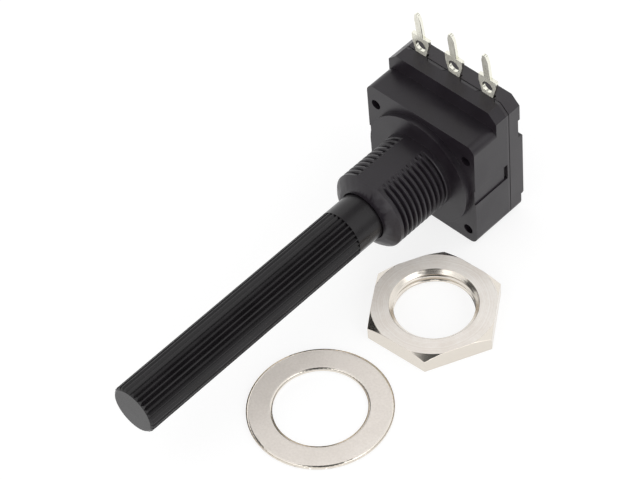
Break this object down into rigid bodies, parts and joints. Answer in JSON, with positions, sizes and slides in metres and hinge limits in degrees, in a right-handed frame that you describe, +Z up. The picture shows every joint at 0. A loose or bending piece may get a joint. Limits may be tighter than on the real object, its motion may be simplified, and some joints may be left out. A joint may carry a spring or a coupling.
{
  "type": "rotary potentiometer",
  "caption": "Rotary potentiometer with a square housing, threaded bushing, long splined shaft and pin terminals, with its hex nut and washer beside it.",
  "frame": {"origin": "on the shaft's axis, at the round seat that meets the panel", "axes": "-Y along the shaft towards its tip, +Z up along the terminals, +X to the right seen from the shaft's tip; the underside, nut and washer lie at Z = -7.8 mm"},
  "size_m": [0.0276, 0.0543, 0.0247],
  "materials": {
    "black_housing": "moulded black plastic, fine satin texture",
    "black_shaft": "moulded black plastic, semi-gloss",
    "rubber_seal": "greased black rubber",
    "natural_plastic": "natural moulded plastic",
    "spring_bronze": "bright spring sheet",
    "phenolic": "brown phenolic paper board",
    "carbon_ink": "printed carbon ink",
    "silver_ink": "printed conducting ink",
    "tinned_terminal": "tinned sheet, dull bright",
    "tinned_rivet": "tinned rivet",
    "nickel_nut": "nickel plate over fine turning marks",
    "nickel_washer": "nickel plate over stamped sheet"
  },
  "bodies": {
    "housing": {"front_housing": "black_housing", "rear_cover": "black_housing", "element_plate": "phenolic", "carbon_track": "carbon_ink", "collector_track": "silver_ink", "end_pad_left": "silver_ink", "end_pad_right": "silver_ink", "terminal_left": "tinned_terminal", "terminal_middle": "tinned_terminal", "terminal_right": "tinned_terminal", "rivet_left": "tinned_rivet", "rivet_middle": "tinned_rivet", "rivet_right": "tinned_rivet", "mounting_nut": "nickel_nut", "flat_washer": "nickel_washer"},
    "shaft": {"shaft": "black_shaft", "shaft_seal": "rubber_seal", "rotor": "natural_plastic", "wiper_spring": "spring_bronze"}
  },
  "joints": [
    {"name": "shaft_turn", "type": "hinge", "parent": "housing", "child": "shaft", "pos_m": [0, 0, 0], "axis": [0, 1, 0], "range_deg": [-150, 150]}
  ]
}
